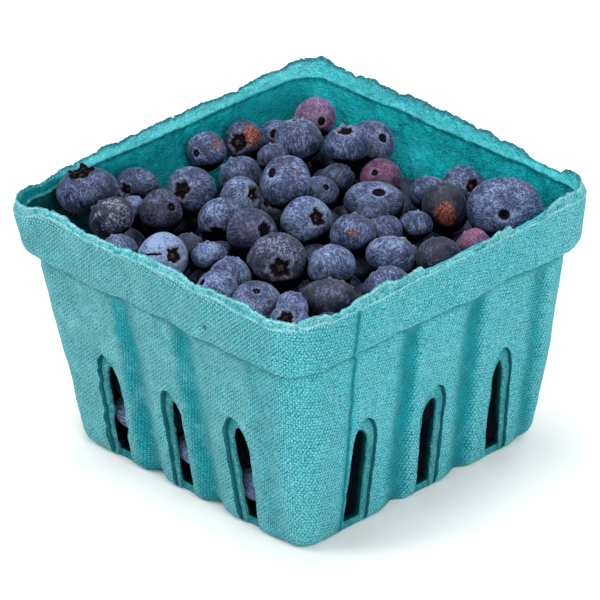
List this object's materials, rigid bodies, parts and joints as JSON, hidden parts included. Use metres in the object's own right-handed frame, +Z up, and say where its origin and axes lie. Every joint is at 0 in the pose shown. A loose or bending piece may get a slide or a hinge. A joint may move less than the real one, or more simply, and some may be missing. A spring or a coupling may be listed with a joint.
{
  "type": "punnet of blueberries",
  "caption": "Square moulded-pulp berry punnet with a banded rim, fluted tapering walls and pointed vent slots, heaped to the rim with loose blueberries.",
  "frame": {"origin": "middle of the flat underside of the punnet", "axes": "+Z up, X and Y along the punnet's square sides"},
  "size_m": [0.114, 0.114, 0.0816],
  "materials": {
    "pulp": "matt moulded pulp with a fine wire-cloth imprint",
    "berry": "dark skin with a pale dusty bloom"
  },
  "bodies": {
    "root": {"punnet": "pulp", "berries": "berry"}
  },
  "joints": []
}
